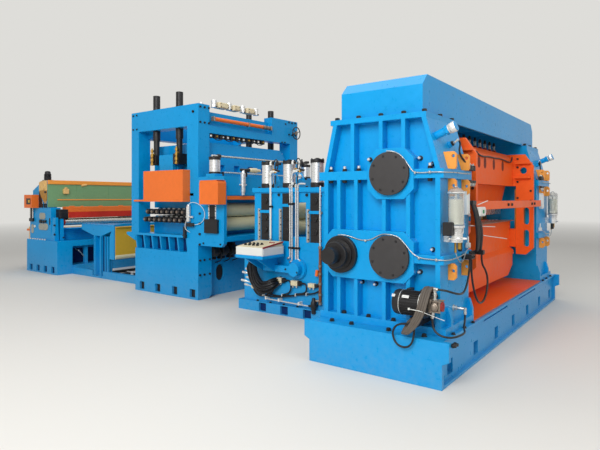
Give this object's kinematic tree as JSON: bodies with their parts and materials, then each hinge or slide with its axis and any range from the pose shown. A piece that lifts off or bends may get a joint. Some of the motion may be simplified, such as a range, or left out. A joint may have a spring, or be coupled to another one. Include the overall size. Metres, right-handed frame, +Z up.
{
  "type": "cut-to-length line",
  "caption": "Sheet metal line: ribbed flying shear with orange knife frame, roll feeder, leveller with screw-hung cassette, bridge table and end roll unit",
  "frame": {"origin": "on the floor, at the centre of the flying shear base footprint", "axes": "+X along the strip travel, +Y across the line away from the operator side, +Z up"},
  "size_m": [10.4612, 4.887, 3.34],
  "materials": {
    "blue_paint": "gloss",
    "orange_paint": "gloss",
    "yellow_paint": "satin",
    "black_metal": "satin",
    "bare_steel": "ground",
    "roll_coat": "ground polyurethane",
    "silver_alloy": "satin",
    "bronze": "machined",
    "white_plastic": "gloss",
    "black_rubber": "satin"
  },
  "bodies": {
    "line": {"shear_base": "blue_paint", "shear_deck": "orange_paint", "near_housing": "blue_paint", "far_housing": "blue_paint", "bearing_covers": "black_metal", "input_hub": "black_metal", "crown_box": "blue_paint", "knife_gibs": "bronze", "grease_pumps": "white_plastic", "oil_fillers": "blue_paint", "lifting_lugs": "orange_paint", "lubrication_pump": "black_metal", "operator_desk": "white_plastic", "desk_bracket": "blue_paint", "exit_bar": "orange_paint", "feeder_base": "blue_paint", "feeder_frames": "blue_paint", "feeder_chocks": "black_metal", "feeder_cylinders": "silver_alloy", "cylinder_caps": "black_metal", "feeder_strips": "bare_steel", "grease_feet": "silver_alloy", "end_scrubber": "orange_paint", "end_chute": "blue_paint", "leveller_base": "blue_paint", "leveller_near_portal": "blue_paint", "leveller_far_portal": "blue_paint", "leveller_girders": "blue_paint", "leveller_cover": "orange_paint", "lower_work_rolls": "bare_steel", "lower_cassette": "blue_paint", "screw_housings": "black_metal", "pinch_stands": "blue_paint", "pinch_chocks": "black_metal", "pinch_covers": "orange_paint", "bridge_stand": "blue_paint", "bridge_table": "yellow_paint", "end_base": "blue_paint", "end_frames": "blue_paint", "hose_motor_loop": "black_rubber", "hose_pump_low": "black_rubber", "hose_pump_high": "black_rubber", "hose_exit_loop": "black_rubber", "desk_cables": "black_rubber"},
    "knife_frame": {"upper_knife_frame": "orange_paint", "upper_knife": "bare_steel"},
    "knife_beam": {"lower_knife_beam": "orange_paint", "lower_knife": "bare_steel"},
    "cassette": {"leveller_cassette": "blue_paint", "upper_work_rolls": "bare_steel", "cassette_screws": "black_metal"},
    "pinch_top": {"pinch_roll_upper": "roll_coat"},
    "pinch_bottom": {"pinch_roll_lower": "roll_coat"},
    "end_roller": {"end_roll": "bare_steel"},
    "feed_top_1": {"feed_roll_upper_1": "roll_coat"},
    "feed_bottom_1": {"feed_roll_lower_1": "roll_coat"},
    "feed_top_2": {"feed_roll_upper_2": "roll_coat"},
    "feed_bottom_2": {"feed_roll_lower_2": "roll_coat"},
    "feed_top_3": {"feed_roll_upper_3": "roll_coat"},
    "feed_bottom_3": {"feed_roll_lower_3": "roll_coat"}
  },
  "joints": [
    {"name": "upper_knife_close", "type": "slide", "parent": "line", "child": "knife_frame", "axis": [0, 0, 1], "range_m": [-0.042, 0]},
    {"name": "lower_knife_close", "type": "slide", "parent": "line", "child": "knife_beam", "axis": [0, 0, 1], "range_m": [0, 0.042]},
    {"name": "cassette_lift", "type": "slide", "parent": "line", "child": "cassette", "axis": [0, 0, 1], "range_m": [0, 0.06]},
    {"name": "pinch_bottom_spin", "type": "hinge", "parent": "line", "child": "pinch_bottom", "pos_m": [-3.468, 0.26, 1.19], "axis": [0, 1, 0], "continuous": true},
    {"name": "pinch_top_spin", "type": "hinge", "parent": "line", "child": "pinch_top", "pos_m": [-3.468, 0.26, 1.416], "axis": [0, 1, 0], "continuous": true},
    {"name": "end_roller_spin", "type": "hinge", "parent": "line", "child": "end_roller", "pos_m": [-8.345, 0.26, 1.085], "axis": [0, 1, 0], "continuous": true},
    {"name": "feed_bottom_spin_1", "type": "hinge", "parent": "line", "child": "feed_bottom_1", "pos_m": [-2.445, 0.26, 1.19], "axis": [0, 1, 0], "continuous": true},
    {"name": "feed_top_spin_1", "type": "hinge", "parent": "line", "child": "feed_top_1", "pos_m": [-2.445, 0.26, 1.416], "axis": [0, 1, 0], "continuous": true},
    {"name": "feed_bottom_spin_2", "type": "hinge", "parent": "line", "child": "feed_bottom_2", "pos_m": [-2.06, 0.26, 1.19], "axis": [0, 1, 0], "continuous": true},
    {"name": "feed_top_spin_2", "type": "hinge", "parent": "line", "child": "feed_top_2", "pos_m": [-2.06, 0.26, 1.416], "axis": [0, 1, 0], "continuous": true},
    {"name": "feed_bottom_spin_3", "type": "hinge", "parent": "line", "child": "feed_bottom_3", "pos_m": [-1.59, 0.26, 1.19], "axis": [0, 1, 0], "continuous": true},
    {"name": "feed_top_spin_3", "type": "hinge", "parent": "line", "child": "feed_top_3", "pos_m": [-1.59, 0.26, 1.416], "axis": [0, 1, 0], "continuous": true}
  ],
  "couplings": [
    {"joint": "lower_knife_close", "follows": "upper_knife_close", "ratio": -1},
    {"joint": "pinch_top_spin", "follows": "pinch_bottom_spin", "ratio": -1},
    {"joint": "feed_top_spin_1", "follows": "feed_bottom_spin_1", "ratio": -1},
    {"joint": "feed_bottom_spin_2", "follows": "feed_bottom_spin_1", "ratio": 1},
    {"joint": "feed_top_spin_2", "follows": "feed_bottom_spin_1", "ratio": -1},
    {"joint": "feed_bottom_spin_3", "follows": "feed_bottom_spin_1", "ratio": 1},
    {"joint": "feed_top_spin_3", "follows": "feed_bottom_spin_1", "ratio": -1}
  ]
}
